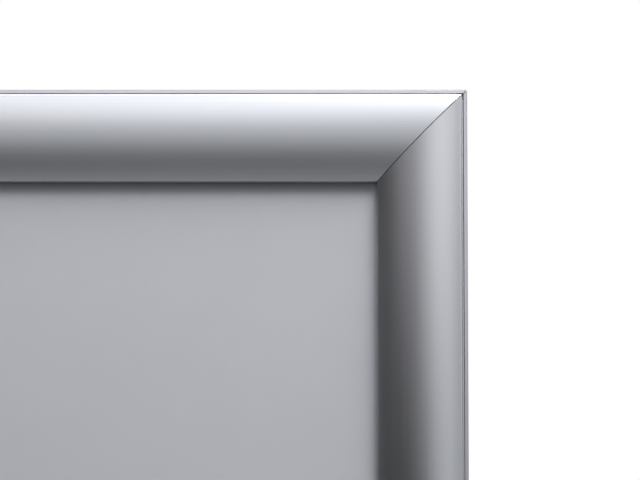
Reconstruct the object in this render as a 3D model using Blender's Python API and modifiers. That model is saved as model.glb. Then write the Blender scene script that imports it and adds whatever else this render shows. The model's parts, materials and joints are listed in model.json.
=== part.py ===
"""A double-sided A1 sandwich board: two snap frames on tube legs, hinged along the top.

Metres, +Z up, with the origin on the ground under the middle of the fold. The front
leaf faces -Y. Each leaf is laid out in axes of its own, carried by an empty on the
fold's axis: x to the right as one faces the leaf, y up the leaf and z out of its face.
Left and right in the names are as one faces that leaf. On the hinges and the stays,
which belong to both leaves, they are as one faces the front leaf.
"""

import math

import bmesh
import bpy
from mathutils import Matrix

MM = 0.001
CLEARANCE = 0.3 * MM  # between pieces that touch or slide on each other

# The poster, and the frame round it
POSTER_WIDTH = 594 * MM
POSTER_HEIGHT = 841 * MM
POSTER_TUCK = 10 * MM  # how far the poster runs in under the covers
PROFILE_WIDTH = 32 * MM
FRAME_WIDTH = POSTER_WIDTH + 2 * (PROFILE_WIDTH - POSTER_TUCK)
FRAME_HEIGHT = POSTER_HEIGHT + 2 * (PROFILE_WIDTH - POSTER_TUCK)
MITRE_GAP = CLEARANCE / 2 * math.sqrt(2)  # along the rail, at each end

# A rail's section: s runs inward from the frame's outer edge, h out from its back
RAIL_FLOOR = 1.2 * MM
RAIL_WALL = 1.1 * MM
RAIL_REACH = 31 * MM
RIB_START = 13.4 * MM
RIB_END = 14.6 * MM
RIB_TOP = 6 * MM
PIVOT = (2.4 * MM, 12.4 * MM)  # the cover's hinge axis in (s, h)
BEAD_RADIUS = 1 * MM
SOCKET_RADIUS = BEAD_RADIUS + CLEARANCE
SOCKET_OUTER_RADIUS = 2.1 * MM
SOCKET_OUTER_LIP = 155  # degrees round the pivot, from inward
SOCKET_INNER_LIP = 340
EDGE_CHAMFER = 0.25 * MM

# A snap cover's section
FACE_RADIUS = 37.5 * MM
FACE_START = 100  # degrees round the face's centre: the face rises for 10 degrees
FACE_END = 52  # and then falls for 38
COVER_THICKNESS = 1.3 * MM
NOSE_THICKNESS = 1.4 * MM
NOSE_ROUND = 0.5 * MM
BEAD_SETBACK = 3.7 * MM  # the bead stops short of the corner, so that covers open singly
UNDERCUT = 0.25  # how fast the mitre falls back under the cover's face

# The layers in the frame
PANEL_THICKNESS = 0.7 * MM
PANEL_INSET = 16 * MM
SHEET_THICKNESS = 0.5 * MM
PANEL_BACK = RAIL_FLOOR + CLEARANCE
SHEET_BACK = PANEL_BACK + PANEL_THICKNESS + CLEARANCE
NOSE_BOTTOM = SHEET_BACK + SHEET_THICKNESS + CLEARANCE

# Corner brackets and springs
BRACKET_START = 2.6 * MM
BRACKET_END = 12.2 * MM
BRACKET_ARM = 75 * MM
BRACKET_THICKNESS = 2.5 * MM
SPRING_LENGTH = 45 * MM
SPRING_THICKNESS = 0.5 * MM
SPRING_FOOT = (2.2 * MM, 8.4 * MM)
SPRING_TOE = (14.4 * MM, 6.6 * MM)
SPRING_BOW = 4.5 * MM

# Legs, hinges and feet
LEAN = math.radians(12.5)  # of each leaf, open
HINGE_THICKNESS = 2 * MM
LEG_SIZE = 20 * MM
LEG_WALL = 1.5 * MM
LEG_ROUND = 2.5 * MM
LEG_INSET = 3 * MM  # from the frame's outer edge
LEG_TOP = 7 * MM  # below the fold's axis
LEG_BOTTOM = 1140 * MM
HINGE_BACK = CLEARANCE / 2
LEG_BACK = HINGE_BACK + HINGE_THICKNESS + CLEARANCE
LEG_MIDDLE = LEG_BACK + LEG_SIZE / 2
LEG_OUT = FRAME_WIDTH / 2 - LEG_INSET - LEG_SIZE / 2
FRAME_BACK = LEG_BACK + LEG_SIZE + CLEARANCE
FOOT_WALL = 2 * MM
FOOT_DEPTH = 30 * MM  # how far the leg goes into it
FOOT_SOLE = 5 * MM
FOOT_SIZE = LEG_SIZE + 2 * (CLEARANCE + FOOT_WALL)
FOLD_HEIGHT = (LEG_BOTTOM + CLEARANCE + FOOT_SOLE) * math.cos(LEAN) - HINGE_BACK * math.sin(LEAN)

KNUCKLE_RADIUS = 4.5 * MM
HINGE_BORE = 2.1 * MM
HINGE_PIN = 2 * MM
HINGE_LENGTH = 55 * MM
HINGE_RELIEF = 0.7 * MM
KNUCKLE_WIDTH = 7.6 * MM  # of the middle one, on the front plate
KNUCKLE_GAP = 0.3 * MM
PIN_HEAD_RADIUS = 3.2 * MM
PIN_HEAD = 1.2 * MM

# The crossbar
CROSSBAR_DOWN = 1085 * MM
CROSSBAR_HEIGHT = 20 * MM
CROSSBAR_DEPTH = 10 * MM

# The stays
STAY_DOWN = 640 * MM
STAY_HALF_WIDTH = 8 * MM
STAY_THICKNESS = 2.5 * MM
STAY_LAYERS = {"front": 0.5 * MM, "rear": 3.5 * MM}  # off the leg's inner face
STAY_LENGTH = STAY_DOWN * math.sin(LEAN) + LEG_MIDDLE * math.cos(LEAN)
BOLT_RADIUS = 3 * MM
BOLT_HOLE = 3.3 * MM
BOLT_HEAD_RADIUS = 5.5 * MM
BOLT_HEAD = 2.2 * MM
RIVET_HEAD = 1.6 * MM

# Each side's turn about the leaf's z, from a rail whose inward direction is +x
SIDES = {"left": 0, "bottom": 90, "right": 180, "top": 270}
CORNERS = {"bottom_left": 0, "bottom_right": 90, "top_right": 180, "top_left": 270}

# Stands an outline in the leaf's (y, z), with its thickness along x
ACROSS = Matrix.Rotation(math.radians(90), 4, "Z") @ Matrix.Rotation(math.radians(90), 4, "X")

PARTS = bpy.data.collections.new("sandwich_board")
CUTTERS = bpy.data.collections.new("cutters")
FINISHES = {
    "anodised_aluminium": ((0.88, 0.89, 0.91), 0.32, 1.0),
    "galvanised_steel": ((0.62, 0.63, 0.65), 0.62, 0.05),
    "clear_sheet": ((0.72, 0.73, 0.76), 0.60, 0.0),
    "zinc_casting": ((0.42, 0.43, 0.44), 0.45, 1.0),
    "spring_steel": ((0.30, 0.31, 0.33), 0.35, 1.0),
    "coated_tube": ((0.36, 0.37, 0.38), 0.45, 0.3),
    "plated_steel": ((0.55, 0.55, 0.56), 0.32, 1.0),
    "black_moulding": ((0.03, 0.03, 0.032), 0.65, 0.0),
}


def empty_the_scene():
    for thing in list(bpy.data.objects):
        bpy.data.objects.remove(thing)
    for collection in (PARTS, CUTTERS):
        bpy.context.scene.collection.children.link(collection)


def material(name):
    """The Principled material of that name, made once."""
    if name in bpy.data.materials:
        return bpy.data.materials[name]
    colour, roughness, metallic = FINISHES[name]
    made = bpy.data.materials.new(name)
    made.use_nodes = True
    shader = made.node_tree.nodes["Principled BSDF"]
    shader.inputs["Base Color"].default_value = (*colour, 1)
    shader.inputs["Roughness"].default_value = roughness
    shader.inputs["Metallic"].default_value = metallic
    return made


def place(name, mesh, leaf, matrix, finish):
    """Adds a part, at a matrix in its leaf's axes."""
    mesh.name = name
    mesh.shade_smooth()
    mesh.set_sharp_from_angle(angle=math.radians(25))
    mesh.materials.clear()
    mesh.materials.append(material(finish))
    part = bpy.data.objects.new(name, mesh)
    PARTS.objects.link(part)
    part.parent = leaf
    part.matrix_basis = matrix
    return part


def cut(part, mesh, matrix):
    """Takes a mesh, at a matrix in the part's leaf's axes, out of the part."""
    cutter = bpy.data.objects.new(part.name + "_cutter", mesh)
    CUTTERS.objects.link(cutter)
    cutter.parent = part.parent
    cutter.matrix_basis = matrix
    cutter.hide_render = True
    cutter.display_type = "WIRE"
    boolean = part.modifiers.new("cut", "BOOLEAN")
    boolean.operation = "DIFFERENCE"
    boolean.object = cutter


def arc(centre, radius, start, end, steps):
    """Points along an arc, from one angle to another in degrees, both ends included."""
    angles = [math.radians(start + (end - start) * i / steps) for i in range(steps + 1)]
    return [(centre[0] + radius * math.cos(a), centre[1] + radius * math.sin(a)) for a in angles]


def circle(centre, radius, steps=20):
    return arc(centre, radius, 0, 360, steps)[:-1]


def rounded_rectangle(width, height, radius, steps=3):
    """A rectangle about the origin with round corners."""
    x, y = width / 2 - radius, height / 2 - radius
    centres = [(x, y), (-x, y), (-x, -y), (x, -y)]
    return [p for i, c in enumerate(centres) for p in arc(c, radius, 90 * i, 90 * i + 90, steps)]


def extruded(outlines, depth):
    """A mesh of flat outlines, the first the rim and the others holes, thick along z about 0."""
    curve = bpy.data.curves.new("outline", "CURVE")
    curve.dimensions = "2D"
    curve.fill_mode = "BOTH"
    curve.extrude = depth / 2
    for outline in outlines:
        spline = curve.splines.new("POLY")
        spline.points.add(len(outline) - 1)
        for point, (x, y) in zip(spline.points, outline):
            point.co = (x, y, 0, 1)
        spline.use_cyclic_u = True
    source = bpy.data.objects.new("outline", curve)
    bpy.context.scene.collection.objects.link(source)
    evaluated = source.evaluated_get(bpy.context.evaluated_depsgraph_get())
    mesh = bpy.data.meshes.new_from_object(evaluated)
    bpy.data.objects.remove(source)
    bpy.data.curves.remove(curve)
    weld(mesh)
    return mesh


def weld(mesh):
    """Joins an extruded outline's loose caps to its walls, with every face turned out."""
    bm = bmesh.new()
    bm.from_mesh(mesh)
    bmesh.ops.remove_doubles(bm, verts=bm.verts, dist=0.01 * MM)
    bmesh.ops.recalc_face_normals(bm, faces=bm.faces)
    bm.to_mesh(mesh)
    bm.free()


def block(x, y, z):
    """A box mesh between two limits on each axis."""
    bm = bmesh.new()
    bmesh.ops.create_cube(bm, size=1)
    for limits, axis in ((x, 0), (y, 1), (z, 2)):
        for vertex in bm.verts:
            vertex.co[axis] = limits[vertex.co[axis] > 0]
    mesh = bpy.data.meshes.new("block")
    bm.to_mesh(mesh)
    bm.free()
    return mesh


def rod(radius, length):
    """A cylinder mesh about the origin, along z."""
    bm = bmesh.new()
    bmesh.ops.create_cone(
        bm, cap_ends=True, segments=20, radius1=radius, radius2=radius, depth=length
    )
    mesh = bpy.data.meshes.new("rod")
    bm.to_mesh(mesh)
    bm.free()
    return mesh


def turned(profile):
    """A mesh whose (radius, z) profile, from its top on the axis to its bottom, runs with a Screw."""
    mesh = bpy.data.meshes.new("profile")
    edges = [(i, i + 1) for i in range(len(profile) - 1)]
    mesh.from_pydata([(r, 0, z) for r, z in profile], edges, [])
    source = bpy.data.objects.new("profile", mesh)
    bpy.context.scene.collection.objects.link(source)
    screw = source.modifiers.new("turn", "SCREW")
    screw.steps = screw.render_steps = 20
    screw.use_merge_vertices = True
    screw.merge_threshold = 0.01 * MM
    evaluated = source.evaluated_get(bpy.context.evaluated_depsgraph_get())
    made = bpy.data.meshes.new_from_object(evaluated)
    bpy.data.objects.remove(source)
    weld(made)
    return made


def add_leaf(name, turn):
    """The empty that carries a leaf: on the fold's axis, leaning back from the ground."""
    leaf = bpy.data.objects.new(name, None)
    PARTS.objects.link(leaf)
    leaf.location = (0, 0, FOLD_HEIGHT)
    leaf.rotation_euler = (math.radians(90) - LEAN, 0, math.radians(turn))
    return leaf


def side_matrix(side, s=0.0, h=0.0):
    """A rail's axes at (s, h): x inward from the frame's edge, y out of its back, z along it."""
    reach = FRAME_WIDTH / 2 if side in ("left", "right") else FRAME_HEIGHT / 2
    middle = Matrix.Translation((0, -FRAME_HEIGHT / 2, FRAME_BACK))
    turn = Matrix.Rotation(math.radians(SIDES[side]), 4, "Z")
    stand = Matrix.Rotation(math.radians(90), 4, "X")
    return middle @ turn @ Matrix.Translation((s - reach, 0, h)) @ stand


def side_length(side):
    return FRAME_HEIGHT if side in ("left", "right") else FRAME_WIDTH


def mitre(mesh, setback):
    """Moves each end of a bar along z back by what setback gives for its place in the section."""
    for vertex in mesh.vertices:
        back = setback(vertex.co.x, vertex.co.y)
        vertex.co.z -= math.copysign(back, vertex.co.z)


def rail_section():
    floor_angle = 180 + math.degrees(math.acos((PIVOT[0] - RAIL_WALL) / SOCKET_OUTER_RADIUS))
    socket = arc(PIVOT, SOCKET_RADIUS, SOCKET_INNER_LIP, SOCKET_OUTER_LIP, 12)
    top = socket[-1][1]
    return [
        (0, 0),
        (RAIL_REACH, 0),
        (RAIL_REACH, RAIL_FLOOR),
        (RIB_END, RAIL_FLOOR),
        (RIB_END, RIB_TOP),
        (RIB_START, RIB_TOP),
        (RIB_START, RAIL_FLOOR),
        (RAIL_WALL, RAIL_FLOOR),
        *arc(PIVOT, SOCKET_OUTER_RADIUS, floor_angle, SOCKET_INNER_LIP, 8),
        *socket,
        (EDGE_CHAMFER, top),
        (0, top - EDGE_CHAMFER),
    ]


def add_rail(leaf, side):
    mesh = extruded([rail_section()], side_length(side))
    mitre(mesh, lambda s, h: s + MITRE_GAP)
    place(f"{leaf.name}_{side}_rail", mesh, leaf, side_matrix(side), "anodised_aluminium")


def face_centre():
    """The centre of the cover's face, which starts at the top of the bead."""
    start = math.radians(FACE_START)
    s = PIVOT[0] - FACE_RADIUS * math.cos(start)
    h = PIVOT[1] + BEAD_RADIUS - FACE_RADIUS * math.sin(start)
    return s, h


def cover_section():
    """Face, nose, underside and bead, in (s, h)."""
    centre = face_centre()
    face = arc(centre, FACE_RADIUS, FACE_START, FACE_END, 12)
    tip = face[-1][0]
    inside = FACE_RADIUS - COVER_THICKNESS
    nose_angle = math.degrees(math.acos((tip - NOSE_THICKNESS - centre[0]) / inside))
    bead_angle = FACE_START - 1.2
    neck = arc(centre, inside, nose_angle, bead_angle, 10)
    neck_angle = math.degrees(math.atan2(neck[-1][1] - PIVOT[1], neck[-1][0] - PIVOT[0]))
    low = NOSE_BOTTOM + NOSE_ROUND
    return [
        *face,
        *arc((tip - NOSE_ROUND, low), NOSE_ROUND, 0, -90, 3),
        *arc((tip - NOSE_THICKNESS + NOSE_ROUND, low), NOSE_ROUND, -90, -180, 3),
        *neck,
        *arc(PIVOT, BEAD_RADIUS, neck_angle + 352, 102, 12),
    ]


def cover_setback(s, h):
    """The 45 degree mitre, cut under below the face and with the bead's end kept back."""
    centre = face_centre()
    depth = centre[1] + math.sqrt(FACE_RADIUS**2 - (s - centre[0]) ** 2) - h
    if s >= PIVOT[0] and depth < EDGE_CHAMFER:
        return s + MITRE_GAP
    return max(s, BEAD_SETBACK) + MITRE_GAP + UNDERCUT * max(0.0, depth)


def add_cover(leaf, side):
    mesh = extruded([cover_section()], side_length(side))
    mitre(mesh, cover_setback)
    mesh.transform(Matrix.Translation((-PIVOT[0], -PIVOT[1], 0)))
    matrix = side_matrix(side, *PIVOT)
    place(f"{leaf.name}_{side}_snap_cover", mesh, leaf, matrix, "anodised_aluminium")


def add_spring(leaf, side):
    """A bowed strip from the rail's outer wall to its rib, with its crown under the cover."""
    steps = 10
    (s0, h0), (s1, h1) = SPRING_FOOT, SPRING_TOE
    path = []
    for i in range(steps + 1):
        t = i / steps
        path.append((s0 + (s1 - s0) * t, h0 + (h1 - h0) * t + SPRING_BOW * math.sin(math.pi * t)))
    above = [(s, h + SPRING_THICKNESS / 2) for s, h in path]
    below = [(s, h - SPRING_THICKNESS / 2) for s, h in path]
    mesh = extruded([above + below[::-1]], SPRING_LENGTH)
    place(f"{leaf.name}_{side}_cover_spring", mesh, leaf, side_matrix(side), "spring_steel")


def add_corner_bracket(leaf, corner):
    """An L in the channels of two rails, with x and y inward from the frame's corner."""
    near, far, arm = BRACKET_START, BRACKET_END, BRACKET_ARM
    outline = [(near, near), (arm, near), (arm, far), (far, far), (far, arm), (near, arm)]
    mesh = extruded([outline], BRACKET_THICKNESS)
    turn = CORNERS[corner]
    upright = turn % 180 == 0
    reach_x = FRAME_WIDTH / 2 if upright else FRAME_HEIGHT / 2
    reach_y = FRAME_HEIGHT / 2 if upright else FRAME_WIDTH / 2
    height = FRAME_BACK + RAIL_FLOOR + CLEARANCE + BRACKET_THICKNESS / 2
    matrix = (
        Matrix.Translation((0, -FRAME_HEIGHT / 2, height))
        @ Matrix.Rotation(math.radians(turn), 4, "Z")
        @ Matrix.Translation((-reach_x, -reach_y, 0))
    )
    place(f"{leaf.name}_corner_bracket_{corner}", mesh, leaf, matrix, "zinc_casting")


def add_layer(leaf, name, width, height, back, thickness, finish):
    """A flat sheet in the middle of the frame."""
    half = (width / 2, height / 2)
    mesh = block((-half[0], half[0]), (-half[1], half[1]), (0, thickness))
    matrix = Matrix.Translation((0, -FRAME_HEIGHT / 2, FRAME_BACK + back))
    place(f"{leaf.name}_{name}", mesh, leaf, matrix, finish)


def add_leg(leaf, side, out):
    """A square tube up the leaf, drilled across for the stay's bolt."""
    rim = rounded_rectangle(LEG_SIZE, LEG_SIZE, LEG_ROUND)
    bore = LEG_SIZE - 2 * LEG_WALL
    hole = rounded_rectangle(bore, bore, LEG_ROUND - LEG_WALL)
    mesh = extruded([rim, hole], LEG_BOTTOM - LEG_TOP)
    matrix = Matrix.Translation((out, -(LEG_BOTTOM + LEG_TOP) / 2, LEG_MIDDLE))
    matrix = matrix @ Matrix.Rotation(math.radians(-90), 4, "X")
    leg = place(f"{leaf.name}_{side}_leg", mesh, leaf, matrix, "coated_tube")
    across = Matrix.Rotation(math.radians(90), 4, "Y")
    cut(leg, rod(BOLT_HOLE, 1.5 * LEG_SIZE), Matrix.Translation((out, -STAY_DOWN, LEG_MIDDLE)) @ across)


def add_foot(leaf, side, out):
    """A cup on the leg's end, with its sole flat on the ground while the board is open."""
    half = FOOT_SIZE / 2
    top = -LEG_BOTTOM + FOOT_DEPTH
    mesh = block((-half, half), (-LEG_BOTTOM - FOOT_SOLE, top), (-half, half))
    bm = bmesh.new()
    bm.from_mesh(mesh)
    rim = next(f for f in bm.faces if f.calc_center_median().y > top - 0.1 * MM)
    bmesh.ops.inset_region(bm, faces=[rim], thickness=FOOT_WALL, use_even_offset=True)
    floor = bmesh.ops.extrude_discrete_faces(bm, faces=[rim])["faces"][0]
    for vertex in floor.verts:
        vertex.co.y = -LEG_BOTTOM - CLEARANCE
    for vertex in bm.verts:
        if vertex.co.y < -LEG_BOTTOM - FOOT_SOLE / 2:
            level = FOLD_HEIGHT + (LEG_MIDDLE + vertex.co.z) * math.sin(LEAN)
            vertex.co.y = -level / math.cos(LEAN)
    bm.to_mesh(mesh)
    bm.free()
    matrix = Matrix.Translation((out, 0, LEG_MIDDLE))
    place(f"{leaf.name}_{side}_foot", mesh, leaf, matrix, "black_moulding")


def add_crossbar(leaf):
    bore = 2 * LEG_WALL
    rim = rounded_rectangle(CROSSBAR_HEIGHT, CROSSBAR_DEPTH, LEG_ROUND)
    hole = rounded_rectangle(CROSSBAR_HEIGHT - bore, CROSSBAR_DEPTH - bore, LEG_ROUND - LEG_WALL)
    mesh = extruded([rim, hole], 2 * (LEG_OUT - LEG_SIZE / 2 - CLEARANCE))
    matrix = Matrix.Translation((0, -CROSSBAR_DOWN, LEG_MIDDLE)) @ ACROSS
    place(f"{leaf.name}_crossbar", mesh, leaf, matrix, "coated_tube")


def hinge_section():
    """A plate that lies along the leg's back and rolls round the fold's axis, in (y, z)."""
    front = HINGE_BACK + HINGE_THICKNESS
    start = math.degrees(math.asin(HINGE_BACK / KNUCKLE_RADIUS))
    end = math.degrees(math.asin(front / KNUCKLE_RADIUS))
    roll = arc((0, 0), KNUCKLE_RADIUS, 180 - start, 540 - end, 20)
    return [(-HINGE_LENGTH, HINGE_BACK), *roll, (-HINGE_LENGTH, front)]


def add_hinge_plate(name, leaf, out, gaps):
    """gaps are the stretches across the plate where the other plate's knuckles go."""
    mesh = extruded([hinge_section(), circle((0, 0), HINGE_BORE)], LEG_SIZE)
    plate = place(name, mesh, leaf, Matrix.Translation((out, 0, 0)) @ ACROSS, "plated_steel")
    clear = KNUCKLE_RADIUS + HINGE_RELIEF
    for low, high in gaps:
        gap = block((out + low, out + high), (-clear, 2 * clear), (-2 * clear, 2 * clear))
        cut(plate, gap, Matrix.Identity(4))


def add_hinge(side, front, rear, out):
    """A butt hinge behind a pair of leg tops, with the middle knuckle on the front plate."""
    middle, edge = KNUCKLE_WIDTH / 2, LEG_SIZE
    front_gaps = [(-edge, -middle), (middle, edge)]
    rear_gaps = [(-middle - KNUCKLE_GAP, middle + KNUCKLE_GAP)]
    add_hinge_plate(f"{side}_hinge_front_plate", front, out, front_gaps)
    add_hinge_plate(f"{side}_hinge_rear_plate", rear, -out, rear_gaps)
    shoulder = LEG_SIZE / 2 + CLEARANCE
    top = shoulder + PIN_HEAD
    profile = [(0, top), (PIN_HEAD_RADIUS, top), (PIN_HEAD_RADIUS, shoulder), (HINGE_PIN, shoulder)]
    profile += [(r, -z) for r, z in reversed(profile)]
    matrix = Matrix.Translation((out, 0, 0)) @ Matrix.Rotation(math.radians(90), 4, "Y")
    place(f"{side}_hinge_pin", turned(profile), front, matrix, "plated_steel")


def add_stay_link(side, leaf, inward):
    """A flat link from the leg's pivot to the middle of the stay, level while the board is open.
    inward is +1 or -1: the way from the leg into the board along the leaf's x."""
    layer = STAY_LAYERS[leaf.name] + STAY_THICKNESS / 2
    half = STAY_HALF_WIDTH
    bar = arc((0, 0), half, 90, 270, 12) + arc((STAY_LENGTH, 0), half, -90, 90, 12)
    mesh = extruded([bar, circle((0, 0), BOLT_HOLE)], STAY_THICKNESS)
    x = -inward * (LEG_OUT - LEG_SIZE / 2 - layer)
    level = Matrix.Rotation(LEAN, 4, "X") @ Matrix(((0, 0, 1, 0), (0, 1, 0, 0), (-1, 0, 0, 0), (0, 0, 0, 1)))
    matrix = Matrix.Translation((x, -STAY_DOWN, LEG_MIDDLE)) @ level
    place(f"{side}_stay_{leaf.name}_link", mesh, leaf, matrix, "plated_steel")


def add_stay_bolt(side, leaf, inward):
    """The link's pivot: through the leg, spaced off it where the link is the inner one."""
    face = LEG_SIZE / 2
    layer = STAY_LAYERS[leaf.name]
    head = face + layer + STAY_THICKNESS + CLEARANCE
    profile = [
        (0, head + BOLT_HEAD),
        (0.7 * BOLT_HEAD_RADIUS, head + BOLT_HEAD),
        (BOLT_HEAD_RADIUS, head + BOLT_HEAD / 2),
        (BOLT_HEAD_RADIUS, head),
        (BOLT_RADIUS, head),
    ]
    if layer > STAY_THICKNESS:
        spacer = (face + layer - CLEARANCE, face + CLEARANCE)
        profile += [(BOLT_RADIUS, spacer[0]), (BOLT_HEAD_RADIUS, spacer[0])]
        profile += [(BOLT_HEAD_RADIUS, spacer[1]), (BOLT_RADIUS, spacer[1])]
    end = -face - CLEARANCE
    profile += [
        (BOLT_RADIUS, end),
        (BOLT_HEAD_RADIUS, end),
        (0.6 * BOLT_HEAD_RADIUS, end - RIVET_HEAD),
        (0, end - RIVET_HEAD),
    ]
    matrix = Matrix.Translation((-inward * LEG_OUT, -STAY_DOWN, LEG_MIDDLE))
    matrix = matrix @ Matrix.Rotation(math.radians(90 * inward), 4, "Y")
    place(f"{side}_stay_{leaf.name}_bolt", turned(profile), leaf, matrix, "plated_steel")


def build_leaf(name, turn):
    """One frame with its covers, panel, legs and feet."""
    leaf = add_leaf(name, turn)
    for side in SIDES:
        add_rail(leaf, side)
        add_cover(leaf, side)
        add_spring(leaf, side)
    for corner in CORNERS:
        add_corner_bracket(leaf, corner)
    panel = (FRAME_WIDTH - 2 * PANEL_INSET, FRAME_HEIGHT - 2 * PANEL_INSET)
    add_layer(leaf, "back_panel", *panel, PANEL_BACK, PANEL_THICKNESS, "galvanised_steel")
    sheet = (POSTER_WIDTH, POSTER_HEIGHT)
    add_layer(leaf, "poster_cover", *sheet, SHEET_BACK, SHEET_THICKNESS, "clear_sheet")
    for side, out in (("left", -LEG_OUT), ("right", LEG_OUT)):
        add_leg(leaf, side, out)
        add_foot(leaf, side, out)
    add_crossbar(leaf)
    return leaf


def build_board():
    empty_the_scene()
    front = build_leaf("front", 0)
    rear = build_leaf("rear", 180)
    for side, way in (("left", -1), ("right", 1)):
        add_hinge(side, front, rear, way * LEG_OUT)
        for leaf, inward in ((front, -way), (rear, way)):
            add_stay_link(side, leaf, inward)
            add_stay_bolt(side, leaf, inward)
    bpy.context.view_layer.update()


build_board()
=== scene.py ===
"""The looks of a double-sided A1 sandwich board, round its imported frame.

Sections are drawn in (s, h): s runs inward from the frame's outer edge and h out from its
back. Each leaf has axes of its own about the fold: x to its right, y up it, z out of it.
"""

import json
import math

import bmesh
import bpy
from mathutils import Matrix, Vector


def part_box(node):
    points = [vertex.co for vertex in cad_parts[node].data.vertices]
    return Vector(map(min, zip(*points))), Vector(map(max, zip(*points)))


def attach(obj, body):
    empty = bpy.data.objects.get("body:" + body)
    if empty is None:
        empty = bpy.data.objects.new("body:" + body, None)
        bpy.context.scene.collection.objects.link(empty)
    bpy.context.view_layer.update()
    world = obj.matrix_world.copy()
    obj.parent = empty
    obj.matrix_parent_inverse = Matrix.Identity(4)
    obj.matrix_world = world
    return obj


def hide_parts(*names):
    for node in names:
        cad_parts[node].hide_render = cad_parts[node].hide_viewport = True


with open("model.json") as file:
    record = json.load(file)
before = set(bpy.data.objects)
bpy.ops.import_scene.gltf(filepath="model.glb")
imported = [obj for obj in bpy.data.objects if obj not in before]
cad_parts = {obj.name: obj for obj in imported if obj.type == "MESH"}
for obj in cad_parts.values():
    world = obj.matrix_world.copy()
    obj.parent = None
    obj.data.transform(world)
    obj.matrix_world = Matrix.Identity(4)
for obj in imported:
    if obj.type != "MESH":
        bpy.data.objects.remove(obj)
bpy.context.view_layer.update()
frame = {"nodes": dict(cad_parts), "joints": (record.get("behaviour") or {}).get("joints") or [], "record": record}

MM = 0.001
JOINTS = {j["name"]: j for j in frame["joints"]}
FOLD = Vector(JOINTS["fold"]["pos_m"])
LEAVES = ("front", "rear")
SIDES = ("top", "right", "bottom", "left")

# Rail and cover sections
PIVOT = (2.4 * MM, 12.4 * MM)
BEAD_RADIUS = 1.0 * MM
SOCKET_RADIUS = 1.18 * MM
SOCKET_OUTER_RADIUS = 2.1 * MM
SOCKET_LIPS = (157, 340)
RAIL_FLOOR = 1.2 * MM
RAIL_WALL = 1.1 * MM
RAIL_REACH = 31 * MM
RIB = (13.4 * MM, 14.6 * MM)
RIB_TOP = 6 * MM
EDGE_CHAMFER = 0.25 * MM
FACE_RADIUS = 37.5 * MM
FACE_START = 100
FACE_END = 52
COVER_THICKNESS = 1.3 * MM
NOSE_THICKNESS = 1.4 * MM
NOSE_BOTTOM = 3.3 * MM
NOSE_ROUND = 0.6 * MM
BEAD_SETBACK = 3.7 * MM
MITRE_GAP = 0.2 * MM
UNDERCUT = 0.25  # how much further a cover's end stands back for each length below its face
RAIL_SHADE = 0.86  # of the covers' brightness

# Legs and what is on them
LEG_SIZE = 20 * MM
LEG_ROUND = 2.5 * MM
LEG_WALL = 1.5 * MM
LEG_TOP = 7 * MM
LEG_BOTTOM = 1140 * MM
LEG_BACK = 2.45 * MM
LEG_MIDDLE = LEG_BACK + LEG_SIZE / 2
FRAME_BACK = LEG_BACK + LEG_SIZE + 0.3 * MM
CROSSBAR_DOWN = 1085 * MM
CROSSBAR_SECTION = (20 * MM, 10 * MM)
FOOT_SIZE = 24.6 * MM
FOOT_DEPTH = 30 * MM
STAY_DOWN = 640 * MM
STAY_HALF_WIDTH = 8 * MM
STAY_THICKNESS = 2.5 * MM
STAY_LAYERS = {"front": 0.5 * MM, "rear": 3.5 * MM}
BOLT_RADIUS = 3 * MM
BOLT_HEAD_RADIUS = 5.5 * MM
BOLT_HEAD = 2.2 * MM
RIVET_HEAD = 1.6 * MM
KNUCKLE_RADIUS = 4.5 * MM
HINGE_BORE = 2.1 * MM
HINGE_LENGTH = 55 * MM
HINGE_PLATE = (0.15 * MM, 2.15 * MM)
HINGE_FLAT = 5.2 * MM  # where the flat of a plate ends, below the fold's axis
HINGE_HOLE = 2.9 * MM
KNUCKLE_WIDTH = 7.6 * MM
KNUCKLE_GAP = 0.3 * MM
PIN_HEAD = (3.2 * MM, 1.2 * MM)
PLUG_FLANGE = 1.1 * MM
WELD = 1.6 * MM
LEG_RIVETS = (90 * MM, 440 * MM, 840 * MM)  # down the leg
HINGE_RIVETS = (18 * MM, 31 * MM, 44 * MM)
SPRING_LENGTH = 45 * MM
SPRING_THICKNESS = 0.5 * MM
SPRING_FOOT = (2.2 * MM, 8.4 * MM)
SPRING_TOE = (14.4 * MM, 6.6 * MM)
SPRING_BOW = 4.5 * MM
SPRINGS = {"top": 3, "bottom": 3, "left": 5, "right": 5}
BRACKET_LINE = 7.4 * MM  # the middle of each bracket arm, from the frame's edge
BRACKET_TOP = 4.0 * MM
BRACKET_SCREWS = (32 * MM, 62 * MM)

# Domed heads: radius, height and the height of the straight rim
BRACKET_SCREW_HEAD = (2.6 * MM, 1.5 * MM, 0.5 * MM)
FRAME_RIVET_HEAD = (3.3 * MM, 1.1 * MM, 0.2 * MM)
STAY_FRONT_HEAD = (6 * MM, 0.35 * MM, 0.2 * MM)
STAY_REAR_HEAD = (5.2 * MM, RIVET_HEAD, 0.4 * MM)
STAY_WASHER = (7 * MM, 0.35 * MM, 0.3 * MM)

# Camera
VIEW_WIDTH = 228.6 * MM
VIEW_DISTANCE = 2.6
VIEW_LEFT_OF_EDGE = 52.55 * MM
VIEW_BELOW_EDGE = 53.6 * MM

# Floor, in metres. The fade is where it starts to clear and where it is gone
FLOOR_RADIUS = 4
FLOOR_FADE = (0.9, 3.2)

# Light. A patch of sky: azimuth, elevation, core and edge half angles in degrees, strength
SKY = (
    (8, -50, 2, 28, 0.13),
    (8, -8, 2, 28, 0.144),
    (8, 12, 2, 28, 0.41),
    (8, 50, 2, 28, 0.8),
    (100, 10, 5, 50, 0.5),
    (0, -90, 10, 60, 0.2),
    (180, 20, 10, 60, 0.35),
    (-85, 10, 5, 35, 0.03),
)
SKY_TINT = (0.95, 0.98, 1.035, 1)
LAMP_TINT = (1.0, 0.985, 1.03)
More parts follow.
